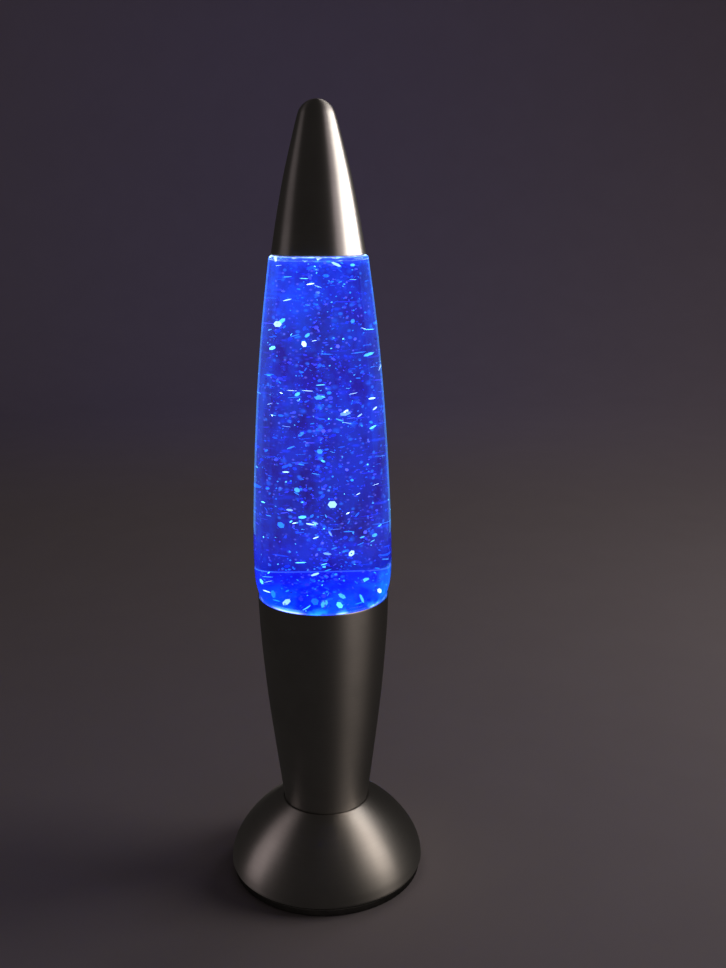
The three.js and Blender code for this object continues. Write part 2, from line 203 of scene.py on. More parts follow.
def sweep(route, radius, sides):
    """A round wire along a route of points, closed at both ends."""
    verts, faces = [], []
    route = [Vector(p) for p in route]
    side = None
    for i, p in enumerate(route):
        along = (route[min(i + 1, len(route) - 1)] - route[max(i - 1, 0)]).normalized()
        if side is None:
            side = along.orthogonal().normalized()
        side = (side - along * side.dot(along)).normalized()
        up = along.cross(side)
        for k in range(sides):
            a = TAU * k / sides
            verts.append(tuple(p + (side * cos(a) + up * sin(a)) * radius))
    for i in range(len(route) - 1):
        for k in range(sides):
            m = (k + 1) % sides
            faces.append((i * sides + k, i * sides + m, (i + 1) * sides + m, (i + 1) * sides + k))
    end = (len(route) - 1) * sides
    faces.append(tuple(reversed(range(sides))))
    faces.append(tuple(range(end, end + sides)))
    return verts, faces


def moved(shape, matrix):
    verts, faces = shape
    return [tuple(matrix @ Vector(v)) for v in verts], faces


def along_y(shape):
    """A shape made about Z, laid along +Y at the height of the cord gland."""
    return moved(shape, Matrix.Translation((0, 0, GLAND_Z)) @ Matrix.Rotation(radians(-90), 4, "X"))


def along_x(shape, z, side):
    """A shape made about Z, laid along +X or -X at a height."""
    return moved(shape, Matrix.Translation((0, 0, z)) @ Matrix.Rotation(radians(90 * side), 4, "Y"))


def thread(pitch, depth, bottom, top, run_out, radii=(0, inf)):
    """A form for lathe: a helical ridge on the points between two radii, fading at both ends."""
    def form(r, z, a):
        if not radii[0] < r < radii[1]:
            return r, z
        fade = min(max((z - bottom) / run_out, 0), 1) * min(max((top - z) / run_out, 0), 1)
        return r + depth * fade * cos(TAU * (z / pitch - a / TAU)), z
    return form


# ---- Materials ----
BLACK = (0.0, 0.0, 0.0)
GRAIN_ROUGHNESS = 0.03
CREASE_Z = 174.0  # where the bottle stops widening fast, just above the cup


class Nodes:
    """Builds a material's node tree; a value is a number, a colour or another node's output."""

    def __init__(self, name):
        self.material = bpy.data.materials.new(name)
        self.material.use_nodes = True
        self.tree = self.material.node_tree
        self.shader = self.tree.nodes["Principled BSDF"]
        self.output = self.tree.nodes["Material Output"]
        self.place = self.add("TexCoord").outputs["Object"]

    def add(self, kind, **settings):
        node = self.tree.nodes.new("ShaderNode" + kind)
        for key, value in settings.items():
            setattr(node, key, value)
        return node

    def link(self, value, socket):
        if isinstance(value, bpy.types.NodeSocket):
            self.tree.links.new(value, socket)
        elif hasattr(value, "__len__") and len(value) == 3 and len(socket.default_value) == 4:
            socket.default_value = (*value, 1)
        else:
            socket.default_value = value

    def set(self, **values):
        """Sets the shader's own sockets; an underscore stands for a space."""
        for key, value in values.items():
            self.link(value, self.shader.inputs[key.replace("_", " ")])

    def scaled(self, x, y, z):
        """The point's place with its axes scaled, to stretch or squash a pattern."""
        node = self.add("Mapping")
        self.link(self.place, node.inputs["Vector"])
        node.inputs["Scale"].default_value = (x, y, z)
        return node.outputs["Vector"]

    def noise(self, size, detail=3, rough=0.55, vector=None):
        """Soft noise whose features are about size millimetres."""
        node = self.add("TexNoise")
        self.link(vector or self.place, node.inputs["Vector"])
        node.inputs["Scale"].default_value = 1 / (size * MM)
        node.inputs["Detail"].default_value = detail
        node.inputs["Roughness"].default_value = rough
        return node.outputs["Fac"]

    def cells(self, size, output="Distance", vector=None):
        """Cells about size millimetres across: the distance from a cell's centre, or its colour."""
        node = self.add("TexVoronoi")
        self.link(vector or self.place, node.inputs["Vector"])
        node.inputs["Scale"].default_value = 1 / (size * MM)
        return node.outputs[output]

    def cell_tone(self, size, vector=None):
        """A random number from 0 to 1 for each cell."""
        node = self.add("SeparateColor")
        self.link(self.cells(size, "Color", vector), node.inputs[0])
        return node.outputs[0]

    def remap(self, value, low, high, to_low=0, to_high=1, smooth_step=False):
        node = self.add("MapRange")
        node.interpolation_type = "SMOOTHSTEP" if smooth_step else "LINEAR"
        self.link(value, node.inputs["Value"])
        for key, number in zip(("From Min", "From Max", "To Min", "To Max"), (low, high, to_low, to_high)):
            node.inputs[key].default_value = number
        return node.outputs["Result"]

    def math(self, operation, a, b=0.0):
        node = self.add("Math", operation=operation)
        self.link(a, node.inputs[0])
        self.link(b, node.inputs[1])
        return node.outputs["Value"]

    def times(self, a, b):
        return self.math("MULTIPLY", a, b)

    def grained(self, rough, fine, low=0.2, high=0.8):
        """A roughness varied a little by a fine noise."""
        return self.math("ADD", rough, self.remap(fine, low, high, -GRAIN_ROUGHNESS, GRAIN_ROUGHNESS))

    def mix(self, factor, a, b):
        node = self.add("Mix", data_type="RGBA")
        self.link(factor, node.inputs[0])
        self.link(a, node.inputs[6])
        self.link(b, node.inputs[7])
        return node.outputs[2]

    def masked(self, mask, colour):
        """The colour where the mask is 1, and black where it is 0."""
        return self.mix(mask, BLACK, colour)

    def plus(self, a, b):
        node = self.add("Mix", data_type="RGBA", blend_type="ADD")
        for socket, value in ((0, 1.0), (6, a), (7, b)):
            self.link(value, node.inputs[socket])
        return node.outputs[2]

    def place_mm(self, axis):
        """One coordinate of the point, in millimetres."""
        node = self.add("SeparateXYZ")
        self.link(self.place, node.inputs[0])
        return self.times(node.outputs[axis], 1000)

    def height(self):
        return self.place_mm("Z")

    def radius(self):
        """Distance from the lamp's axis, in millimetres."""
        x, y = self.place_mm("X"), self.place_mm("Y")
        return self.math("SQRT", self.math("ADD", self.times(x, x), self.times(y, y)))

    def ramp(self, value, low, high, stops):
        """A colour ramp over value between low and high, from (position, colour) stops."""
        node = self.add("ValToRGB")
        self.link(self.remap(value, low, high), node.inputs["Fac"])
        elements = node.color_ramp.elements
        while len(elements) < len(stops):
            elements.new(0.5)
        for element, (at, colour) in zip(elements, stops):
            element.position = (at - low) / (high - low)
            element.color = (*colour, 1)
        return node.outputs["Color"]

    def bump(self, height, depth, strength, normal=None):
        """Bump of a given depth in millimetres."""
        node = self.add("Bump")
        node.inputs["Strength"].default_value = strength
        node.inputs["Distance"].default_value = depth * MM
        self.link(height, node.inputs["Height"])
        if normal is not None:
            self.link(normal, node.inputs["Normal"])
        return node.outputs["Normal"]


def metal(name, rough, grain, depth, mottle, dark=None, light=None):
    """Metal with a fine grain, and a broad mottle in gloss and in colour where two are given."""
    n = Nodes(name)
    fine = n.noise(grain, 2, 0.6)
    broad = n.noise(mottle, 4, 0.6)
    n.set(Metallic=1.0)
    if light:
        n.set(Base_Color=n.mix(n.remap(broad, 0.35, 0.7), dark, light))
    n.set(Roughness=n.grained(n.remap(broad, 0.3, 0.7, rough * 1.15, rough * 0.88), fine))
    n.set(Normal=n.bump(fine, depth, 0.35))
    return n


def satin_metal():
    """Spun aluminium under satin lacquer.

    Fine turning lines run round the lamp, so highlights stretch along its height.
    """
    n = Nodes("satin_metal")
    grain = n.noise(0.28, 2, 0.7)
    broad = n.noise(22, 4, 0.55)
    streak = n.noise(1.0, 3, 0.6, n.scaled(0.04, 0.04, 2.2))
    speck = n.times(n.remap(n.cells(4.5), 0.03, 0.06, 1, 0), n.remap(n.noise(11, 1), 0.62, 0.66))
    colour = n.mix(n.remap(broad, 0.35, 0.65), (0.56, 0.535, 0.515), (0.62, 0.60, 0.575))
    colour = n.mix(n.remap(grain, 0.3, 0.75, 0, 0.35), colour, (0.74, 0.71, 0.68))
    colour = n.mix(n.remap(streak, 0.35, 0.65, 0, 0.12), colour, (0.42, 0.40, 0.38))
    colour = n.mix(n.times(speck, 0.35), colour, (0.06, 0.055, 0.05))
    n.set(Metallic=1.0, Base_Color=colour)
    n.set(Roughness=n.grained(n.remap(broad, 0.3, 0.7, 0.46, 0.42), grain))
    n.set(Normal=n.bump(streak, 0.01, 0.25, n.bump(grain, 0.02, 0.3)))
    n.set(Anisotropic=0.85, Anisotropic_Rotation=0.25)
    n.set(Tangent=n.add("Tangent", direction_type="RADIAL", axis="Z").outputs["Tangent"])
    return n.material


def plastic(name, dark, light, rough, grain=0.6, depth=0.03, dust=(0.09, 0.085, 0.08)):
    """Moulded plastic or rubber: a leathery grain, dull patches and a little dust."""
    n = Nodes(name)
    fine = n.noise(grain, 3, 0.6)
    broad = n.noise(9, 4, 0.6)
    colour = n.mix(n.remap(broad, 0.35, 0.65), dark, light)
    colour = n.mix(n.remap(n.noise(0.9, 4, 0.75), 0.62, 0.8, 0, 0.5), colour, dust)
    n.set(Base_Color=colour)
    n.set(Roughness=n.grained(n.remap(broad, 0.3, 0.7, rough - 0.06, rough + 0.08), fine, 0.3, 0.7))
    n.set(Normal=n.bump(fine, depth, 0.6))
    return n.material


def zinc_steel():
    """Zinc-plated steel, with the plating's crystals in slightly different greys."""
    n = metal("zinc_steel", 0.34, 0.4, 0.02, 2.5)
    n.set(Base_Color=n.mix(n.cell_tone(2.2), (0.5, 0.51, 0.54), (0.7, 0.71, 0.72)))
    return n.material


def ceramic():
    """Unglazed off-white ceramic with brown flecks."""
    n = Nodes("ceramic")
    fleck = n.remap(n.cells(1.1), 0.06, 0.12, 1, 0)
    broad = n.noise(5, 4)
    colour = n.mix(n.remap(broad, 0.3, 0.7), (0.74, 0.71, 0.63), (0.82, 0.8, 0.73))
    n.set(Base_Color=n.mix(n.times(fleck, 0.35), colour, (0.4, 0.35, 0.28)))
    n.set(Roughness=n.remap(broad, 0.3, 0.7, 0.5, 0.68))
    n.set(Normal=n.bump(n.noise(0.35, 2), 0.03, 0.5))
    return n.material


def bulb_glass():
    """Reflector bulb: silvered below the shoulder, frosted and glowing over the domed front."""
    n = Nodes("bulb_glass")
    height = n.height()
    front = n.remap(height, 109.5, 111.5, smooth_step=True)
    cloud = n.noise(7, 3)
    n.set(Base_Color=n.mix(front, (0.78, 0.78, 0.8), (0.92, 0.95, 1.0)))
    n.set(Metallic=n.remap(front, 0, 1, 1, 0))
    n.set(Roughness=n.math("ADD", n.remap(front, 0, 1, 0.12, 0.5), n.remap(cloud, 0.3, 0.7, 0, 0.06)))
    n.set(Normal=n.bump(n.noise(0.5, 3), 0.02, 0.3))
    glow = n.ramp(height, 108, 124.5, [
        (109.5, BLACK), (111.5, (0.75, 0.6, 0.42)), (119, (1.0, 0.86, 0.68)), (124, (1.0, 0.93, 0.82)),
    ])
    n.set(Emission_Color=n.mix(n.remap(cloud, 0.3, 0.7, 0, 0.25), glow, BLACK), Emission_Strength=3.0)
    return n.material


def stem_glass():
    n = Nodes("stem_glass")
    n.set(Base_Color=n.mix(n.noise(3, 3), (0.93, 0.96, 0.98), (0.85, 0.9, 0.93)))
    n.set(Transmission_Weight=0.85, IOR=1.5)
    n.set(Roughness=n.remap(n.noise(1.5, 2), 0.3, 0.7, 0.03, 0.12))
    return n.material


def tungsten():
    n = Nodes("tungsten")
    hot = n.noise(2.5, 2)
    n.set(Base_Color=n.mix(hot, (0.25, 0.22, 0.2), (0.4, 0.36, 0.32)), Metallic=1.0)
    n.set(Roughness=n.remap(hot, 0.3, 0.7, 0.35, 0.5))
    n.set(Emission_Color=n.mix(n.remap(hot, 0.3, 0.7), (1.0, 0.5, 0.16), (1.0, 0.68, 0.34)))
    n.set(Emission_Strength=9.0)
    return n.material


def shoulder_glow(n):
    """Light gathered in the bottle's shoulder: a bright ragged line under the cap."""
    ragged = n.math("ADD", n.height(), n.remap(n.noise(6, 2), 0.57, 0.68, 0, 2.2))
    glow = n.ramp(ragged, 344, 352, [
        (345.5, BLACK), (347.2, (0.006, 0.02, 0.30)), (349.6, (0.01, 0.05, 0.45)),
        (349.95, (0.3, 0.9, 1.1)), (350.2, (1.3, 1.8, 1.9)),
    ])
    outer = n.remap(n.radius(), 23.2, 24.2)
    sparkle = n.remap(n.noise(4.5, 2, 0.6), 0.46, 0.64, 0.35, 1.0)
    return n.masked(n.times(outer, sparkle), glow)


def cup_rim_glow(n):
    """Painted light: pale patches where the front of the glass meets the cup's rim."""
    glow = n.ramp(n.height(), 160, 172, [
        (166.2, BLACK), (167.0, (0.5, 0.62, 0.95)), (167.8, (0.05, 0.25, 0.7)), (169.5, BLACK),
    ])
    patches = n.remap(n.noise(16, 1), 0.45, 0.58, 0.05, 1.0)
    front = n.remap(n.place_mm("Y"), -8, 0, 1, 0)
    return n.masked(n.times(patches, front), glow)


def bottle_glass():
    """Clear glass with faint ripples from the mould, lit at the shoulder and at the cup's rim."""
    n = Nodes("bottle_glass")
    n.set(Base_Color=n.mix(n.noise(30, 2), (0.93, 0.96, 1.0), (0.97, 0.985, 1.0)))
    n.set(Transmission_Weight=1.0, IOR=1.45)
    n.set(Roughness=n.remap(n.noise(6, 3), 0.35, 0.7, 0.0, 0.03))
    n.set(Normal=n.bump(n.noise(14, 2, 0.5, n.scaled(1, 1, 0.35)), 0.12, 0.25))
    n.set(Emission_Color=n.plus(shoulder_glow(n), cup_rim_glow(n)), Emission_Strength=1.0)
    n.material.cycles.emission_sampling = "NONE"
    return n.material


def glow_clouds(n, height):
    """Painted glow in clouds of bright and deep blue, pure low down and more violet higher up."""
    bright = n.ramp(height, 138, 372, [
        (140, (0.0, 0.06, 0.9)), (166.5, (0.0, 0.02, 0.8)), (167.5, (0.0, 0.016, 1.1)),
        (173.6, (0.0, 0.012, 1.05)), (175, (0.002, 0.01, 0.30)), (188, (0.003, 0.014, 0.36)),
        (200, (0.016, 0.03, 0.42)), (250, (0.018, 0.03, 0.40)), (320, (0.015, 0.045, 0.52)),
        (346, (0.010, 0.05, 0.62)), (360, (0.006, 0.02, 0.4)),
    ])
    deep = n.ramp(height, 138, 372, [
        (140, (0.0, 0.01, 0.8)), (166.5, (0.0, 0.004, 0.6)), (167.5, (0.0, 0.004, 0.95)),
        (173.6, (0.0, 0.004, 0.9)), (175, (0.001, 0.002, 0.15)), (188, (0.002, 0.003, 0.15)),
        (200, (0.018, 0.008, 0.12)), (320, (0.020, 0.010, 0.14)), (346, (0.010, 0.012, 0.24)),
        (360, (0.006, 0.01, 0.3)),
    ])
    cloud = n.noise(21, 4, 0.62, n.scaled(1, 1, 0.6))
    return n.mix(n.remap(cloud, 0.41, 0.59), deep, bright)


def with_soft_spots(n, height, glow):
    """The glow with soft spots added: painted glints of flakes too deep in the liquid to be seen sharp."""
    hazy = n.remap(height, 176, 196, 0.15, 1)
    squat = n.scaled(1, 1, 1.5)
    for size, colour in ((5.2, (0.01, 0.13, 0.75)), (3.4, (0.08, 0.09, 0.55)), (8.5, (0.002, 0.07, 0.5))):
        spot = n.remap(n.cells(size, "Distance", squat), 0.08, 0.34, 1, 0, True)
        chosen = n.times(hazy, n.remap(n.cell_tone(size, squat), 0.5, 0.9))
        glow = n.plus(glow, n.masked(n.times(spot, chosen), colour))
    return glow


def cyan_pool(n, height):
    """Cyan light in patches just over the cup's rim, and in a strip low on the right."""
    patch = n.remap(n.noise(8, 2), 0.45, 0.6)
    rim = n.times(n.remap(height, 167, 171.5, 1, 0), patch)
    rim = n.times(rim, n.remap(n.place_mm("X"), -22, -8, 0.1, 1))
    strip = n.times(n.remap(n.place_mm("X"), 27, 34), n.remap(height, 182, 188, 1, 0))
    pool = n.math("MAXIMUM", rim, n.times(strip, n.remap(patch, 0, 1, 0.4, 1)))
    return n.masked(pool, (0.01, 0.36, 0.35))


def painted_crease_highlight(n, height):
    """A painted highlight: a fine bright line across the far side of the bottle."""
    away = n.math("ABSOLUTE", n.math("SUBTRACT", height, CREASE_Z))
    line = n.times(n.remap(away, 0.15, 0.4, 1, 0), n.remap(n.place_mm("Y"), 5, 15))
    return n.masked(line, (0.5, 0.9, 1.1))


def blue_liquid():
    """Blue liquid that takes in red light and glows by itself, as if lit from below."""
    n = Nodes("blue_liquid")
    height = n.height()
    n.set(Base_Color=n.mix(n.noise(40, 2), (0.96, 0.97, 1.0), (1.0, 1.0, 1.0)))
    n.set(Transmission_Weight=1.0, IOR=1.33)
    n.set(Roughness=n.remap(n.noise(18, 2), 0.35, 0.7, 0.0, 0.02))
    glow = with_soft_spots(n, height, glow_clouds(n, height))
    glow = n.plus(glow, cyan_pool(n, height))
    n.set(Emission_Color=n.plus(glow, painted_crease_highlight(n, height)), Emission_Strength=1.0)
    volume = n.add("VolumeAbsorption")
    volume.inputs["Color"].default_value = (0.35, 0.5, 0.9, 1)
    volume.inputs["Density"].default_value = 62.0
    n.tree.links.new(volume.outputs["Volume"], n.output.inputs["Volume"])
    n.material.cycles.emission_sampling = "NONE"
    return n.material


def glitter():
    """Metallised flakes; each flake's own glint is stored on its mesh."""
    n = Nodes("glitter")
    tint = n.add("Attribute", attribute_name="glint").outputs["Color"]
    n.set(Base_Color=n.mix(0.5, (0.5, 0.6, 0.95), tint), Metallic=0.6)
    n.set(Roughness=n.remap(n.noise(0.7, 2), 0.3, 0.7, 0.2, 0.38))
    n.set(Emission_Color=tint, Emission_Strength=1.0)
    n.material.cycles.emission_sampling = "NONE"
    return n.material


def crown_enamel():
    """Cream enamel, worn to bare metal mostly round the lower edge."""
    n = Nodes("crown_enamel")
    wear = n.times(n.noise(1.2, 4, 0.7), n.remap(n.height(), 382.2, 383.4, 1, 0.55))
    bare = n.remap(wear, 0.42, 0.5)
    broad = n.noise(6, 3)
    colour = n.mix(n.remap(broad, 0.3, 0.7), (0.66, 0.62, 0.52), (0.74, 0.71, 0.62))
    n.set(Base_Color=n.mix(bare, colour, (0.42, 0.41, 0.4)))
    n.set(Metallic=n.remap(bare, 0, 1, 0.35, 1))
    n.set(Roughness=n.remap(broad, 0.3, 0.7, 0.26, 0.4))
    n.set(Normal=n.bump(n.noise(0.5, 2), 0.02, 0.4))
    return n.material


LOOKS = {
    "satin_metal": satin_metal(),
    "black_rubber": plastic("black_rubber", (0.030, 0.028, 0.025), (0.055, 0.050, 0.045), 0.72, 0.8, 0.06),
    "black_plastic": plastic("black_plastic", (0.014, 0.013, 0.012), (0.024, 0.022, 0.02), 0.42),
    "zinc_steel": zinc_steel(),
    "nickel": metal("nickel", 0.26, 0.4, 0.015, 6.0, (0.52, 0.49, 0.45), (0.66, 0.63, 0.58)).material,
    "brass": metal("brass", 0.32, 0.4, 0.02, 3.0, (0.5, 0.34, 0.14), (0.72, 0.52, 0.22)).material,
    "ceramic": ceramic(),
    "bulb_glass": bulb_glass(),
    "stem_glass": stem_glass(),
    "tungsten": tungsten(),
    "solder": metal("solder", 0.4, 0.5, 0.05, 1.2, (0.34, 0.34, 0.35), (0.5, 0.5, 0.51)).material,
    "bottle_glass": bottle_glass(),
    "blue_liquid": blue_liquid(),
    "glitter": glitter(),
    "crown_enamel": crown_enamel(),
    "liner": plastic("liner", (0.72, 0.69, 0.6), (0.78, 0.76, 0.69), 0.6, 0.5, 0.02, (0.6, 0.56, 0.48)),
}


# ---- Pieces ----
def to_mesh(name, shape, sharp=32):
    """A mesh in metres; edges sharper than the angle in degrees stay sharp."""
    verts, faces = shape
    bm = bmesh.new()
    made = [bm.verts.new(Vector(v) * MM) for v in verts]
    for face in faces:
        bm.faces.new([made[i] for i in face])
    bmesh.ops.recalc_face_normals(bm, faces=bm.faces)
    mesh = bpy.data.meshes.new(name)
    bm.to_mesh(mesh)
    bm.free()
    mesh.shade_smooth()
    mesh.set_sharp_from_angle(angle=radians(sharp))
    return mesh


def link_object(name, mesh):
    obj = bpy.data.objects.new(name, mesh)
    bpy.context.scene.collection.objects.link(obj)
    return obj


def without(mesh, cutters, sharp=32):
    """The mesh with the cutters' shapes taken out of it."""
    whole = link_object("whole", mesh)
    tools = [link_object("cutter", to_mesh("cutter", c)) for c in cutters]
    for tool in tools:
        step = whole.modifiers.new("cut", "BOOLEAN")
        step.object = tool
        step.solver = "EXACT"
    made = bpy.data.meshes.new_from_object(whole.evaluated_get(bpy.context.evaluated_depsgraph_get()))
    for obj in [whole, *tools]:
        bpy.data.objects.remove(obj)
    made.shade_smooth()
    made.set_sharp_from_angle(angle=radians(sharp))
    return made


def bevelled(mesh, width):
    bm = bmesh.new()
    bm.from_mesh(mesh)
    bmesh.ops.bevel(bm, geom=bm.edges[:], offset=width * MM, segments=3, affect="EDGES")
    bm.to_mesh(mesh)
    bm.free()
    return mesh


def piece(name, mesh, look, *nodes, slot=None):
    """Links a piece that stands for the CAD nodes, rides on their body and has the given look; slot is not
    used.
    """
    mesh.materials.clear()
    mesh.materials.append(LOOKS[look])
    obj = link_object(name, mesh)
    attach(obj, BODY_OF[nodes[0]])
    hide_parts(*nodes)
    return obj


def turned(name, outline, look, *nodes, segments, form=None, sharp=32, slot=None):
    return piece(name, to_mesh(name, lathe(outline, segments, form), sharp), look, *nodes, slot=slot)


# Foot: bell, rubber ring, base plate, screws and cord gland.
FOOT_OUTSIDE = [
    [54.3, FOOT_EDGE_Z],
    *smooth([
        [54.9, 6.6], [54.3, 12], [51.9, 18.5], [48, 25], [43.2, 31], [37.9, 36.2], [32.6, 40.3],
        [28.6, 42.8], [25.2, 44.5],
    ], 72),
]


def screw_places():
    angles = [pi * (2 * i + 1) / 4 for i in range(4)]
    return [(PLATE_SCREW_R * cos(a), PLATE_SCREW_R * sin(a)) for a in angles]


def screw_holes():
    """Cutters for the screws, long enough for both the plate and the foot's flange."""
    hole = rod(1.6, 0.5, 8, 32)
    return [moved(hole, Matrix.Translation((x, y, 0))) for x, y in screw_places()]


def build_foot_bell():
    inside = offset(FOOT_OUTSIDE, FOOT_WALL)[1:-8][::-1]
    lip_z = FOOT_OUTSIDE[-1][1]
    outline = [
        [43.5, FOOT_EDGE_Z], [53.7, FOOT_EDGE_Z], [54.3, FOOT_EDGE_Z + 0.35], *FOOT_OUTSIDE[1:],
        [24.7, lip_z + 0.1], [24.4, lip_z], [SEAT_R, lip_z - 0.25], [SEAT_R, FOOT_TOP_Z],
        [NIPPLE_HOLE_R, FOOT_TOP_Z], [NIPPLE_HOLE_R, FOOT_TOP_Z - FOOT_WALL],
        [26.1, FOOT_TOP_Z - FOOT_WALL], *inside,
        [53.4, FOOT_EDGE_Z + FOOT_WALL], [43.5, FOOT_EDGE_Z + FOOT_WALL],
    ]
    cord_hole = along_y(rod(4.5, 45, 62, 48))
    mesh = without(to_mesh("foot", lathe(outline, FINE_SEGMENTS)), [cord_hole, *screw_holes()], 40)
    piece("foot_bell", mesh, "satin_metal", "foot_shell")


def build_foot_ring():
    top = FOOT_EDGE_Z - GAP
    outline = [
        [50.4, 0.25], [50.65, 0], [51.1, 0], [51.25, 0.35], [51.4, 0.35], [51.55, 0], [52.1, 0],
        [52.25, 0.35], [52.4, 0.35], [52.5, 0], [52.75, 0.05], [53.2, 0.4], [53.42, 0.85],
        [54.1, 4.2], [54.18, top - 0.15], [54.05, top], [50.6, top], [50.4, top - 0.2],
    ]

    def ribbed(r, z, a):
        return (r + 0.08 * cos(96 * a) if r > 53 else r), z
    turned("rubber_foot_ring", outline, "black_rubber", "foot_ring", segments=384, form=ribbed)


def build_base_plate():
    """Three raised rings underneath, and ribs like spokes between the outer two."""
    ribs, half_width, rib_depth, ring_depth = 12, 0.75, 0.9, 0.8

    def ribbed(r, z, a):
        from_rib = abs((a * ribs / TAU) % 1 - 0.5) * TAU / ribs * r
        on_rib = z < PLATE_BOTTOM_Z + 0.01 and 16 < r < 42 and from_rib < half_width
        return r, z - (rib_depth if on_rib else 0)
    under = [[0, PLATE_BOTTOM_Z]]
    for r in (7, 9, 15.9, 16.1, 20, 24, 28, 32, 36, 40, 41.9, 42.1, 44, 49.6):
        under.append([r, PLATE_BOTTOM_Z - (ring_depth if r in (9, 16.1, 41.9) else 0)])
    edge = [[50, PLATE_BOTTOM_Z + 0.4], [50, PLATE_TOP_Z - 0.2], [49.8, PLATE_TOP_Z], [0, PLATE_TOP_Z]]
    mesh = without(to_mesh("plate", lathe([*under, *edge], 432, ribbed)), screw_holes(), 30)
    piece("base_cover_plate", mesh, "black_plastic", "base_plate")


def build_plate_screws():
    head = PLATE_BOTTOM_Z - GAP
    dome = smooth([[r, head - h] for r, h in ((1.2, 1.66), (2.2, 1.35), (2.85, 0.7), (2.9, 0.15))], 12)
    shank = [[1.12, z] for z in heights(head + 0.3, 8.2, 0.18)]
    profile = [[0, head - 1.7], *dome, [2.75, head], [1.25, head], *shank, [0.3, 9.7], [0, 9.8]]
    shape = lathe(profile, 40, thread(1.25, 0.13, head + 0.4, 8.4, 0.6, (1.1, 1.2)))
    cross = [block(size, (0, 0, head - 1.5)) for size in ((3.2, 0.75, 1.3), (0.75, 3.2, 1.3))]
    screw = without(to_mesh("screw", shape), cross)
    for i, (x, y) in enumerate(screw_places()):
        mesh = screw.copy()
        mesh.transform(Matrix.Translation((x * MM, y * MM, 0)) @ Matrix.Rotation(0.7 * i, 4, "Z"))
        piece(f"plate_screw_{i + 1}", mesh, "zinc_steel", f"base_screw_{i + 1}")


def build_cord_gland():
    """A flange inside the wall, a groove that grips it, and a ribbed boot outside."""
    boot_y = 54.9
    outline = [[2.9, 50.4], [6.0, 50.4], [6.2, 50.8], [6.2, 51.6], [4.2, 52.0], [4.2, 53.9], [5.6, 54.3]]
    for y in (boot_y, 56.1, 57.3):
        out = y - boot_y
        outline += [[5.5 - out * 0.4, y], [5.5 - out * 0.4, y + 0.6], [4.5 - out * 0.2, y + 0.75]]
    outline += [[3.8, 58.6], [2.9, 58.6]]
    mesh = to_mesh("gland", along_y(lathe(rounded(outline, 0.15), 64)))
    piece("cord_grip", mesh, "black_rubber", "cord_gland")


# Cup, and the threaded nipple that clamps it to the foot.
def build_cup():
    wall = smooth([[23.9, 44.6], [27.8, 75], [32, 110], [34.9, 145], [35.8, CUP_RIM_Z - 0.4]], 60)
    inside = offset(wall, CUP_WALL)[::-1]
    outline = [
        [NIPPLE_HOLE_R, CUP_FLOOR_Z], [22.6, CUP_FLOOR_Z], [23.3, CUP_FLOOR_Z + 0.25],
        [23.75, CUP_FLOOR_Z + 0.7], *wall,
        [35.72, CUP_RIM_Z - 0.15], [35.55, CUP_RIM_Z], [35.2, CUP_RIM_Z], [35.0, CUP_RIM_Z - 0.15],
        *inside, [22.6, CUP_FLOOR_Z + CUP_WALL], [NIPPLE_HOLE_R, CUP_FLOOR_Z + CUP_WALL],
    ]
    turned("tapered_cup", outline, "satin_metal", "cup_shell", segments=FINE_SEGMENTS)


def build_nipple():
    shank = [[4.62, z] for z in heights(35, 49.7, 0.16)]
    outline = [[3.4, 34.7], [4.3, 34.5], *shank, [4.3, 50.2], [3.4, 50.0]]
    ridge = thread(1.0, 0.22, 34.8, 49.9, 0.8, (4.5, 4.7))
    turned("threaded_nipple", outline, "zinc_steel", "nipple", segments=48, form=ridge)


def build_washer(name, outer, bottom, top, node, segments, teeth=0):
    """A flat ring round the nipple; teeth are left between notches in its edge."""
    def notched(r, z, a):
        in_notch = teeth and r > outer - 1.2 and cos(teeth * a) > 0.2
        return (r - 0.5 if in_notch else r), z
    outline = [[NIPPLE_HOLE_R, bottom], [outer, bottom], [outer, top], [NIPPLE_HOLE_R, top]]
    turned(name, rounded(outline, 0.2), "zinc_steel", node, segments=segments, form=notched)


def build_nut():
    bottom, top, corner_r, chamfer = 37.9, 40.9, 8.08, 0.45
    bore = NIPPLE_HOLE_R + 0.35

    def hexagon(r, z, a):
        flat = 7.0 / cos((a % (TAU / 6)) - TAU / 12)
        return min(r, flat), z
    outline = [
        [NIPPLE_HOLE_R, 38.2], [bore, bottom], [6.9, bottom], [corner_r, bottom + chamfer],
        [corner_r, top - chamfer], [6.9, top], [bore, top], [NIPPLE_HOLE_R, 40.6],
    ]
    turned("clamp_nut", outline, "zinc_steel", "nipple_nut", segments=144, form=hexagon, sharp=20)


# Lamp holder.
def build_holder_dome():
    outline = [
        [NIPPLE_HOLE_R, 46.2], [9, 46.2], [12, 48.2, 2.5], [HOLDER_R, 51, 2], [HOLDER_R, 57.9],
        [11.7, 57.9], [11.7, 50.9], [10.4, 49.2, 1], [8.6, 48, 1], [NIPPLE_HOLE_R, 48],
    ]
    turned("holder_base_dome", rounded(outline, 0.3), "black_plastic", "holder_dome", segments=96)


def build_holder_body():
    joint = HOLDER_JOINT_Z + GAP
    grip = [[12.3, z] for z in heights(64, 80, 2)]
    outline = [
        [HOLDER_R, joint], [HOLDER_R, 58.8], [HOLDER_R, 61.4], [12.9, 62.3], [12.3, 62.8], *grip,
        [12.2, 81.2], [11.5, HOLDER_TOP_Z], [9.6, HOLDER_TOP_Z], [9.4, 81.4], [9.4, 77],
        [8.1, 77], [8.1, 60.8], [11.7, 60.8], [11.7, joint],
    ]

    def fluted(r, z, a):
        on_grip = 63 < z < 80.5 and 12.2 < r < 12.4
        return (r - 0.28 * (1 - cos(30 * a)) / 2 if on_grip else r), z
    turned("holder_shell", outline, "black_plastic", "holder_body", segments=240, form=fluted)


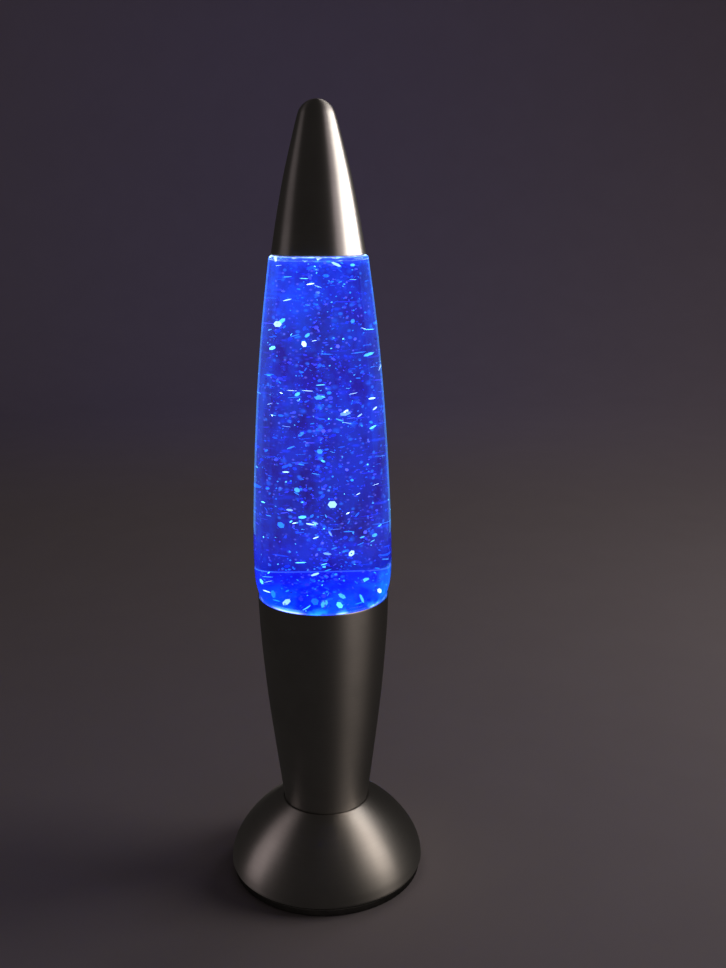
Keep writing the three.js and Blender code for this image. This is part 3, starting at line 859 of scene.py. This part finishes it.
def build_holder_sleeve():
    rows = [61.2, *heights(61.4, 76.2, 0.4), 76.4]
    outline = [[7.62, z] for z in rows] + [[7.38, z] for z in rows[::-1]]
    ridge = thread(THREAD_PITCH, 0.11, 61.6, 76.0, 1.0)
    turned("threaded_sleeve", outline, "brass", "holder_sleeve", segments=64, form=ridge)


def build_terminals():
    """A ceramic block, and a slotted brass screw in each of its ends."""
    sides = (1, -1)
    holes = [along_x(rod(1.4, 4, 9, 32), TERMINAL_Z, side) for side in sides]
    mesh = bevelled(to_mesh("terminal", block((16, 11, 4), (0, 0, TERMINAL_Z))), 0.5)
    piece("terminal_block", without(mesh, holes), "ceramic", "holder_terminal_block")
    shank = [[0.92, h] for h in heights(4.8, 8.2, 0.08)]
    profile = [
        [0, 4.6], [0.7, 4.6], *shank, [0.95, 8.4], [1.75, 8.4], [1.9, 8.6], [1.9, 9.4], [1.5, 9.8],
        [0, 9.9],
    ]
    shape = lathe(profile, 36, thread(0.5, 0.09, 4.7, 8.2, 0.4, (0.9, 0.94)))
    for i, side in enumerate(sides):
        groove = block((1, 0.6, 4), (10 * side, 0, TERMINAL_Z))
        mesh = without(to_mesh("screw", along_x(shape, TERMINAL_Z, side)), [groove])
        piece(f"terminal_screw_{i + 1}", mesh, "brass", f"holder_terminal_screw_{i + 1}")


def build_contact():
    """Centre contact: a folded springy strip, the same on both sides."""
    half = [[6.5, 56.5], [5, 56.5], [3.4, 57.1], [1.8, 57.6]]
    thickness = 0.18
    line = smooth([*[[-x, h] for x, h in half], [0, 57.62], *half[::-1]], 48)
    low = [[x, h - thickness] for x, h in line]
    high = [[x, h + thickness] for x, h in line]
    upright = Matrix.Rotation(radians(90), 4, "X")
    mesh = to_mesh("contact", moved(prism([*low, *high[::-1]], -2, 2), upright))
    piece("contact_spring", mesh, "brass", "holder_contact")


# Reflector bulb: its solder tip is a body of its own, and the rest turns.
def build_solder_tip():
    """A blob, a little out of round."""
    tip = BULB_TIP_Z
    side = smooth([[r, tip + h] for r, h in ((0.6, 0.03), (1.5, 0.3), (2.15, 0.9), (2.3, 1.5))], 14)
    outline = [[0, tip], *side, [2.25, tip + 1.7], [0, tip + 1.7]]

    def uneven(r, z, a):
        return r * (1 + 0.03 * cos(3 * a + 1)), z
    turned("solder_tip", outline, "solder", "bulb_solder_tip", segments=40, form=uneven)


def build_insulator():
    tip = BULB_TIP_Z
    outline = [[0, tip + 2], [2.9, tip + 2], [5.6, tip + 4.6], [5.6, tip + 6.6], [0, tip + 6.6]]
    turned("base_insulator", rounded(outline, 0.4), "black_plastic", "bulb_insulator", segments=64)


def build_screw_shell():
    threaded = [[6.6, z] for z in heights(THREAD_START_Z, SKIRT_Z + 0.4, 0.28)]
    flare = smooth([[r, SKIRT_Z + h] for r, h in ((6.6, 0.8), (7.1, 1.2), (8.1, 1.8), (8.3, 2.6))], 10)
    outside = [[5.9, THREAD_START_Z - 0.1], *threaded, *flare, [8.3, SKIRT_Z + 5.7], [8.2, SKIRT_Z + 6]]
    inside = [[r - 0.3, z] for r, z in outside][::-1]
    ridge = thread(THREAD_PITCH, 0.28, THREAD_START_Z + 0.2, SKIRT_Z + 0.6, 1.6)
    turned("screw_shell", [*outside, *inside], "nickel", "bulb_screw_shell", segments=72, form=ridge)


def build_reflector():
    neck, edge_r = BULB_NECK_Z, 19.5
    dome_z = BULB_TOP_Z - BULB_DOME_R
    edge_angle = acos(edge_r / BULB_DOME_R)
    edge_z = dome_z + BULB_DOME_R * sin(edge_angle)
    flare = [[r, neck + h] for r, h in ((7.5, 5), (9.4, 9.5), (14.6, 18.5), (18.9, 26.5))]
    glass = [
        [7.5, neck],
        *smooth([*flare, [edge_r, edge_z]], 40),
        *arc(0, dome_z, BULB_DOME_R, degrees(edge_angle) + 2, 90, 28),
    ]
    glass[-1][0] = 0.0
    outline = [*glass, *offset(glass, 0.7)[::-1]]
    turned("reflector_glass", outline, "bulb_glass", "bulb_glass", segments=128)


def build_stem():
    neck, top = BULB_NECK_Z, STEM_TOP_Z
    curve = [[r, neck + h] for r, h in ((6.2, 1.4), (5.2, 3), (2.6, 4.6), (2.25, 7))]
    side = smooth([*curve, [2.2, top]], 24)
    outline = [[0, neck + 1], [6.0, neck + 1], *side, [1.4, top + 0.7], [0, top + 1]]
    turned("mount_stem", outline, "stem_glass", "bulb_stem", segments=48, slot="bulb_glass")


def build_lead_wires():
    line = smooth([
        [1.2, STEM_TOP_Z + 1.3], [2.6, STEM_TOP_Z + 2.1], [WIRE_SPAN - 0.4, WIRE_Z - 2.2],
        [WIRE_SPAN, WIRE_Z - 0.9],
    ], 16)
    for i, side in enumerate((1, -1)):
        wire = sweep([(x * side, 0, z) for x, z in line], 0.32, 12)
        piece(f"lead_wire_{i + 1}", to_mesh("lead", wire), "nickel", f"bulb_lead_{i + 1}")


def build_filament():
    """A coil that arches from one lead wire to the other."""
    turns, steps, coil_r, arch = 42, 420, 0.32, 10
    route = []
    for k in range(steps + 1):
        t = k / steps
        a = TAU * turns * t
        middle = Vector((WIRE_SPAN * (2 * t - 1), 0, WIRE_Z + arch * t * (1 - t)))
        along = Vector((2 * WIRE_SPAN, 0, arch - 2 * arch * t)).normalized()
        out = Vector((-along.z, 0, along.x))
        route.append(middle + out * coil_r * cos(a) + Vector((0, coil_r * sin(a), 0)))
    piece("coiled_filament", to_mesh("coil", sweep(route, 0.07, 6)), "tungsten", "bulb_filament")


# Bottle, liquid, flakes and crown closure.
BOTTLE_SIDE = [
    *arc(24.8, BOTTLE_FLOOR_Z + 5, 5, -90, -12, 10),
    *smooth([
        [29.9, 143.4], [32, 153], [34.15, 164.8], [35, 168], [37, 176], [37.6, 190], [37, 215], [35.6, 245],
        [33.3, 280], [30, 315], [25.8, 348.2],
    ], 110),
    *arc(23.9, 348.3, 1.9, 20, 90, 8),
]
BOTTLE_INSIDE = offset(BOTTLE_SIDE, GLASS_WALL)
BOTTLE_FLOOR = [[r, BOTTLE_FLOOR_Z + h] for r, h in ((20, 3.2), (9, 4.9), (0, 5.4))]


def build_bottle():
    lip_r = 13.1
    neck = [
        [16, SHOULDER_Z], *smooth([[14.9, 350.45], [13.8, 351.2], [13.2, 352.3], [lip_r, 353.5]], 10),
        [lip_r, 366], [lip_r, 379.4], [lip_r + 0.35, 380.4], [lip_r + 0.35, LIP_TOP_Z - 1],
        [lip_r + 0.1, LIP_TOP_Z - 0.4], [lip_r - 0.6, LIP_TOP_Z], [10.7, LIP_TOP_Z], [10.4, LIP_TOP_Z - 0.3],
    ]
    bore = [[10.4, 354], [10.6, 351.5], [11.4, 349.2], [13, BOTTLE_UNDER_Z]]
    base = [[r, BOTTLE_FLOOR_Z + h] for r, h in ((0, 2.2), (9, 1.9), (17, 0.8), (21, 0))]
    outline = [*base, *BOTTLE_SIDE, *neck, *bore, *BOTTLE_INSIDE[1:][::-1], *BOTTLE_FLOOR]
    turned("glass_bottle", outline, "bottle_glass", "bottle_glass", segments=FINE_SEGMENTS, sharp=50)


def build_liquid():
    """The filling reaches a little way into the glass, so that no film of air shows between them."""
    wet = 0.12
    floor = [[r, z - wet] for r, z in BOTTLE_FLOOR[::-1]]
    outline = [
        *floor, *offset(BOTTLE_SIDE, GLASS_WALL - wet)[1:],
        [13, BOTTLE_UNDER_Z + wet], [11.4 + wet, 349.4], [10.6 + wet, 351.5], [10.4 + wet, 354],
        [10.4 + wet, LIQUID_TOP_Z], [10.2, LIQUID_TOP_Z - 0.1], [9.2, LIQUID_TOP_Z - 0.9],
        [7, LIQUID_TOP_Z - 1.2], [0, LIQUID_TOP_Z - 1.2],
    ]
    turned("blue_filling", outline, "blue_liquid", "bottle_liquid", segments=160, sharp=50)


GLINTS = {  # emitted colour of a flake
    "white": (2.2, 3.2, 3.6),
    "cyan": (0.4, 2.2, 3.0),
    "azure": (0.03, 0.5, 2.0),
    "lilac": (0.14, 0.15, 1.3),
    "blue": (0.01, 0.07, 1.2),
    "dull": (0.001, 0.001, 0.02),
}


def drawn_flake(draw, widths, sliver):
    """One thin six-sided flake at random in the liquid; a sliver lies near the glass."""
    low, high, thickness, clearance = 145.0, 347.0, 0.08, 0.8
    z = low + (high - low) * draw.random() ** 1.2
    width = draw.uniform(*widths)
    wall = next(r for r, h in BOTTLE_INSIDE[8:] if h >= z) - clearance - width / 2 * sliver
    if sliver == 1:
        radius = wall * sqrt(draw.random())
        if draw.random() < 0.25:
            radius = min(abs(draw.gauss(0, 10)), wall)
    else:
        radius = wall * draw.uniform(0.75, 1)
    angle = draw.uniform(0, TAU)
    lean = draw.uniform(0.15, 1.3) if sliver == 1 else draw.uniform(0.1, 0.4)
    turn = Matrix.Rotation(draw.uniform(0, TAU), 4, "Z") @ Matrix.Rotation(lean, 4, "X")
    centre = Matrix.Translation((radius * cos(angle), radius * sin(angle), z))
    angles = [TAU * k / 6 for k in range(6)]
    corners = [(cos(a) * width / 2 * sliver, sin(a) * width / 2) for a in angles]
    return moved(prism(corners, -thickness / 2, thickness / 2), centre @ turn)


def scatter_flakes(name, count, widths, seed, mix, sliver=1.0):
    """Flakes as one mesh; mix weights their glints, and slivers are that many times as long as wide."""
    draw = random.Random(seed)
    verts, faces, colours = [], [], []
    for _ in range(count):
        corners, sides = drawn_flake(draw, widths, sliver)
        first = len(verts)
        verts += corners
        faces += [tuple(first + i for i in side) for side in sides]
        tint = GLINTS[draw.choices(list(mix), mix.values())[0]]
        level = draw.uniform(0.55, 1.25)
        colours += [(*(c * level for c in tint), 1.0)] * len(corners)
    mesh = to_mesh(name, (verts, faces), 20)
    layer = mesh.color_attributes.new("glint", "FLOAT_COLOR", "POINT")
    layer.data.foreach_set("color", [c for colour in colours for c in colour])
    mesh.materials.append(LOOKS["glitter"])
    obj = link_object(name, mesh)
    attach(obj, "bottle")


def build_flakes():
    """Many small dull flakes, fewer large bright ones, and slivers seen edge-on."""
    fine = {"lilac": 5, "azure": 4, "blue": 4, "cyan": 1, "dull": 2}
    medium = {"azure": 5, "cyan": 1, "blue": 5, "lilac": 5, "dull": 2}
    coarse = {"white": 4, "cyan": 3, "azure": 2}
    slivers = {"white": 2, "cyan": 3, "azure": 3, "lilac": 3}
    scatter_flakes("glitter_fine", 1700, (0.5, 1.0), 11, fine)
    scatter_flakes("glitter_medium", 420, (1.3, 2.3), 23, medium)
    scatter_flakes("glitter_coarse", 72, (2.6, 4.1), 37, coarse)
    scatter_flakes("glitter_slivers", 110, (0.7, 1.0), 41, slivers, 6.0)


def build_crown():
    liner_z, liner_top, sheet = LIP_TOP_Z + GAP, LIP_TOP_Z + GAP + 0.8, 0.4
    liner = rounded([[0, liner_z], [12.4, liner_z], [12.4, liner_top], [0, liner_top]], 0.2)
    turned("closure_liner", liner, "liner", "crown_liner", segments=96)
    top = liner_top + GAP + sheet
    skirt = [[r, top - h] for r, h in ((16, 6), (15.1, 3.6), (14.6, 1.6), (13.9, 0.5), (12.9, 0))]
    outside = smooth(skirt, 20)
    inside = offset(outside, sheet)[::-1]

    def crimped(r, z, a):
        depth = min(max((top - 0.8 - z) / 5, 0), 1) * 0.45
        return (r - depth + depth * cos(FLUTES * (a + pi / 2)) if r > 12 else r), z
    crest = [[12.3, top - 0.1], [6, top - 0.05], [0, top - 0.05]]
    outline = [[0, top - sheet], [6, top - sheet], *inside, *outside, *crest]
    turned("crown_cap", outline, "crown_enamel", "crown_closure", segments=FLUTES * 12, form=crimped,
           sharp=50)


def build_cap():
    outside = [
        *smooth([[24.4, CAP_RIM_Z + 0.3], [21.1, 370], [17.1, 390], [12.1, 410], [10, 417.8]], 70)[:-2],
        *arc(0, CAP_TIP_Z - CAP_TIP_R, CAP_TIP_R, 12, 90, 24),
    ]
    outside[-1][0] = 0.0
    inside = offset(outside, CAP_WALL)[::-1]
    inside[-1] = [23.75, CAP_RIM_Z + 0.15]
    outline = [*outside, *inside, [23.9, CAP_RIM_Z], [24.25, CAP_RIM_Z]]
    turned("pointed_cap", outline, "satin_metal", "top_cap", segments=FINE_SEGMENTS, sharp=40)


# ---- Stage ----
MIDDLE, UPPER, LOW = (0, 0, 0.2), (0, 0, 0.26), (0, 0, 0.03)  # where lights aim, in metres
WARM, ROSY, BLUE = (1.0, 0.93, 0.87), (1.0, 0.86, 0.88), (0.15, 0.6, 0.85)


def stage_material():
    n = Nodes("stage_paper")
    n.set(Base_Color=n.mix(n.noise(60, 3), (0.55, 0.50, 0.52), (0.60, 0.55, 0.57)), Roughness=0.85)
    return n.material


def build_stage():
    """A round floor that curves up into a wall."""
    thickness = 10
    upper = [[0, 0], [300, 0], [900, 0], *arc(1500, 700, 700, -90, 0, 24), [2200, 2400]]
    lower = [
        [2210, 2400], [2210, 700], *arc(1500, 700, 700 + thickness, 0, -90, 24),
        [900, -thickness], [300, -thickness], [0, -thickness],
    ]
    mesh = to_mesh("floor_sweep", lathe([*upper, *lower], 128))
    mesh.materials.append(stage_material())
    floor = link_object("floor_sweep", mesh)
    floor.visible_glossy = False


def area_light(name, azimuth, elevation, distance, size, power, colour, aim=MIDDLE):
    """A soft rectangular light; azimuth is measured from the camera's side towards +X."""
    a, e = radians(azimuth), radians(elevation)
    direction = Vector((sin(a) * cos(e), -cos(a) * cos(e), sin(e)))
    light = bpy.data.lights.new(name, "AREA")
    light.shape = "RECTANGLE"
    light.size, light.size_y = size
    light.energy = power
    light.color = colour
    obj = link_object(name, light)
    obj.location = Vector(aim) + direction * distance
    obj.rotation_mode = "QUATERNION"
    obj.rotation_quaternion = direction.to_track_quat("Z", "Y")
    obj.visible_camera = False
    return obj


def limit(light, only=(), never=()):
    """Lets a light fall on some pieces only, or on all but some."""
    group = bpy.data.collections.new(light.name + "_reach")
    for name in (*only, *never):
        group.objects.link(bpy.data.objects[name])
    for entry in group.collection_objects:
        entry.light_linking.link_state = "INCLUDE" if only else "EXCLUDE"
    light.light_linking.receiver_collection = group


def light_for(target, *settings):
    """An area light that falls on one piece only."""
    light = area_light(*settings)
    limit(light, only=(target,))
    return light


def light_metal():
    """A strong highlight on the right of each metal piece, and faint ones elsewhere."""
    light_for("pointed_cap", "cap_right", 97, 12, 1.0, (1.0, 0.62), 11.8, WARM)
    light_for("pointed_cap", "cap_front", 58, 15, 1.0, (0.42, 0.6), 0.8, ROSY)
    light_for("pointed_cap", "cap_left", -92, 20, 1.0, (0.45, 0.4), 0.14, ROSY)
    light_for("tapered_cup", "cup_right", 69, 38, 0.42, (0.3, 0.2), 0.72, (1.0, 0.86, 0.77), (0, 0, 0.25))
    light_for("foot_bell", "foot_right", 77, 40, 1.0, (0.34, 0.8), 2.0, (1.0, 0.88, 0.77), LOW)
    light_for("foot_bell", "foot_back", 122, 54, 1.0, (0.4, 0.3), 0.9, WARM, LOW)
    light_for("foot_bell", "foot_left", -91, 21, 1.0, (0.44, 1.1), 0.72, (1.0, 0.84, 0.84), LOW)


def light_floor():
    """A lamp on the right, its light on the wall, and the lit bottle's own blue on the wall."""
    wall, far_wall = (0, 1.0, 0.3), (0, 2.0, 0.3)
    light_for("floor_sweep", "floor_light", 93, 22, 1.0, (0.6, 0.5), 1.35, (1.0, 0.9, 0.85))
    light_for("floor_sweep", "wall_light", 100, 35, 1.3, (0.9, 0.9), 1.1, ROSY, wall)
    light_for("floor_sweep", "wall_glow", 0, 32, 0.9, (0.3, 0.3), 0.28, (0.12, 0.12, 1.0), far_wall)


def light_glass():
    """On each side, a broad reflection in the glass and a bright one at its edge."""
    for word, side in (("right", 1), ("left", -1)):
        light_for("glass_bottle", f"zone_{word}", 137 * side, 4, 0.8, (0.48, 0.7), 0.16, BLUE, UPPER)
        edge = light_for("glass_bottle", f"edge_{word}", 158 * side, 4, 0.8, (0.33, 0.7), 0.42, BLUE, UPPER)
        edge.visible_transmission = False


def light_room():
    """One light for the small pieces, and a dim room round everything."""
    room = area_light("room", 20, 60, 1.6, (1.2, 1.2), 11.0, WARM)
    large = ("pointed_cap", "tapered_cup", "foot_bell", "glass_bottle", "blue_filling", "floor_sweep")
    limit(room, never=large)
    world = bpy.data.worlds.new("dim_room")
    world.use_nodes = True
    background = world.node_tree.nodes["Background"]
    background.inputs["Color"].default_value = (0.66, 0.60, 0.57, 1)
    background.inputs["Strength"].default_value = 0.03
    bpy.context.scene.world = world


def build_camera():
    """The viewing angle and lens that give the lamp its proportions in the picture."""
    yaw, pitch, roll = (radians(d) for d in (-2.136, 14.305, -0.305))
    forward = Vector((-sin(yaw) * cos(pitch), cos(yaw) * cos(pitch), -sin(pitch)))
    level = Vector((cos(yaw), sin(yaw), 0))
    up = level.cross(forward)
    right = cos(roll) * level + sin(roll) * up
    up = cos(roll) * up - sin(roll) * level
    camera = bpy.data.cameras.new("camera")
    camera.sensor_width = 36
    camera.lens = 42.371033
    camera.clip_start = 0.01
    camera.clip_end = 20
    obj = link_object("camera", camera)
    turn = Matrix((right, up, -forward)).transposed()
    obj.matrix_world = Matrix.Translation((0, -0.59535, 0.38052)) @ turn.to_4x4()
    bpy.context.scene.camera = obj


# ---- Everything, in order ----
build_foot_bell()
build_foot_ring()
build_base_plate()
build_plate_screws()
build_cord_gland()
build_cup()
build_nipple()
build_washer("toothed_washer", 9.2, 41.2, 42.0, "nipple_washer_lower", 144, teeth=18)
build_washer("cup_washer", 10.0, 44.7, 45.5, "nipple_washer_upper", 96)
build_nut()
build_holder_dome()
build_holder_body()
build_holder_sleeve()
build_terminals()
build_contact()
build_solder_tip()
build_insulator()
build_screw_shell()
build_reflector()
build_stem()
build_lead_wires()
build_filament()
build_bottle()
build_liquid()
build_flakes()
build_crown()
build_cap()
build_stage()
light_metal()
light_floor()
light_glass()
light_room()
build_camera()
bpy.context.scene.view_settings.view_transform = "Standard"
